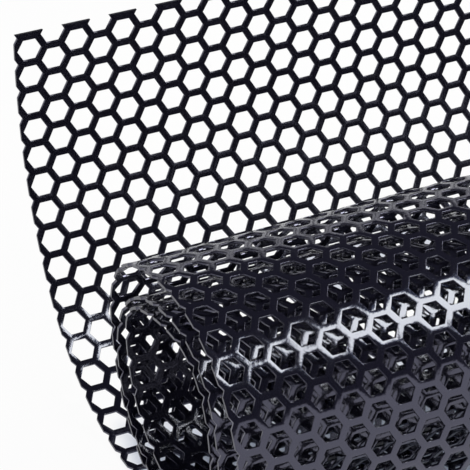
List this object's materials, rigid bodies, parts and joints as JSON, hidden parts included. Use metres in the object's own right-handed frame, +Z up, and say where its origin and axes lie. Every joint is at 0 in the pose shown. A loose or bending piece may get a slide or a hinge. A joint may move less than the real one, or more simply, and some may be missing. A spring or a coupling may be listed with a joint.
{
  "type": "grille mesh sheet",
  "caption": "Thin black plastic sheet of hexagon mesh, partly rolled up with its outer end standing free as a flap, for cutting to fit behind air intakes and grilles",
  "frame": {"origin": "on the floor, halfway along the roll and halfway between the roll's front and the flap's back", "axes": "+X along the roll, +Y from the roll to the flap, +Z up"},
  "size_m": [0.4, 0.2136, 0.1501],
  "materials": {
    "mesh_plastic": "smooth black, glossy"
  },
  "bodies": {
    "root": {"flap_top": "mesh_plastic", "flap_middle": "mesh_plastic", "flap_foot": "mesh_plastic", "floor_lap": "mesh_plastic", "front_foot": "mesh_plastic", "front_low": "mesh_plastic", "front_high": "mesh_plastic", "top_front": "mesh_plastic", "top_back": "mesh_plastic", "back_high": "mesh_plastic", "back_low": "mesh_plastic", "second_turn": "mesh_plastic", "third_turn": "mesh_plastic", "inner_end": "mesh_plastic"}
  },
  "joints": []
}
